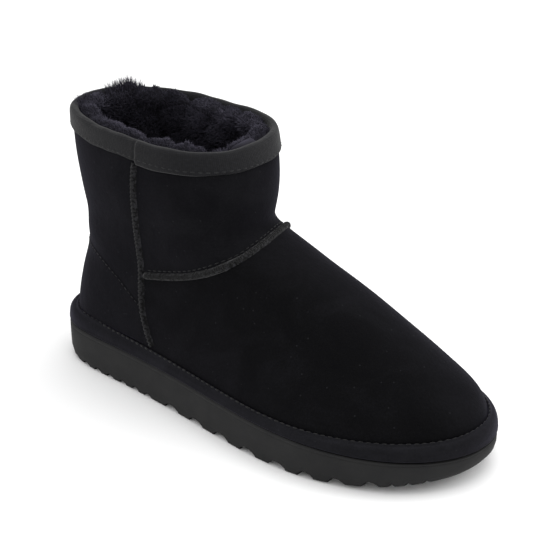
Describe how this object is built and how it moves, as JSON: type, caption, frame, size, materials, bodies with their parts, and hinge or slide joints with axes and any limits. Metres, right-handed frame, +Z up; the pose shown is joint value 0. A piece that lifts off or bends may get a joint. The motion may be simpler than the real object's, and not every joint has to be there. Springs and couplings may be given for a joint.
{
  "type": "sheepskin ankle boot",
  "caption": "Pull-on ankle boot for the right foot with a wool lining, raised seams, bound collar, covered band and thick grooved sole.",
  "frame": {"origin": "on the floor under the middle of the boot's bounding box", "axes": "+X from the heel to the toe, +Y to the inner (medial) side of the right foot, +Z up"},
  "size_m": [0.2714, 0.1078, 0.1527],
  "materials": {
    "suede": "matte napped suede",
    "band_suede": "matte napped suede, slightly paler",
    "binding_tape": "woven tape, matte",
    "seam_thread": "overlocked thread",
    "foam_sole": "matte moulded foam rubber",
    "wool": "deep dyed wool pile"
  },
  "bodies": {
    "root": {"outsole": "foam_sole", "upper": "suede", "insole": "wool", "foxing_band": "band_suede", "collar_binding": "binding_tape", "side_seam_lateral": "seam_thread", "side_seam_medial": "seam_thread", "vamp_seam": "seam_thread", "heel_counter": "suede", "wool_lining": "wool"}
  },
  "joints": []
}
